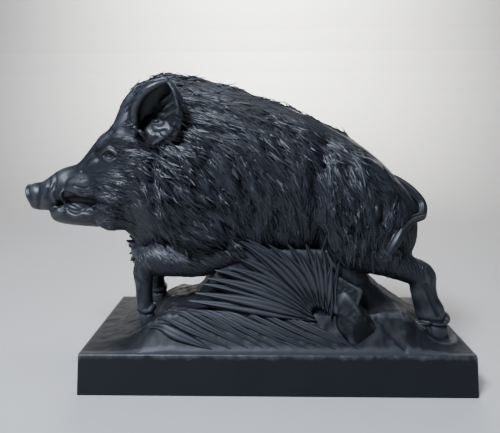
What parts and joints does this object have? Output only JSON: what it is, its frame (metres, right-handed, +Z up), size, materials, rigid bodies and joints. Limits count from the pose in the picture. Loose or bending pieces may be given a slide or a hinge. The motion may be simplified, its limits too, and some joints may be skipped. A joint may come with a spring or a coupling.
{
  "type": "cast iron boar figure",
  "caption": "Cast iron figure of a wild boar bounding over a grassy bank, cast in one with a rectangular plinth that rests on a flat surface.",
  "frame": {"origin": "centre of the plinth's underside", "axes": "+X along the plinth's length, from the boar's snout towards its tail; -Y towards the side that the boar's left flank faces; +Z up"},
  "size_m": [0.2427, 0.0816, 0.1651],
  "materials": {
    "black_cast_iron": "black paint over cast iron, dull satin, worn pale along the plinth's upper edge"
  },
  "bodies": {
    "root": {"cast_boar_on_plinth": "black_cast_iron"}
  },
  "joints": []
}
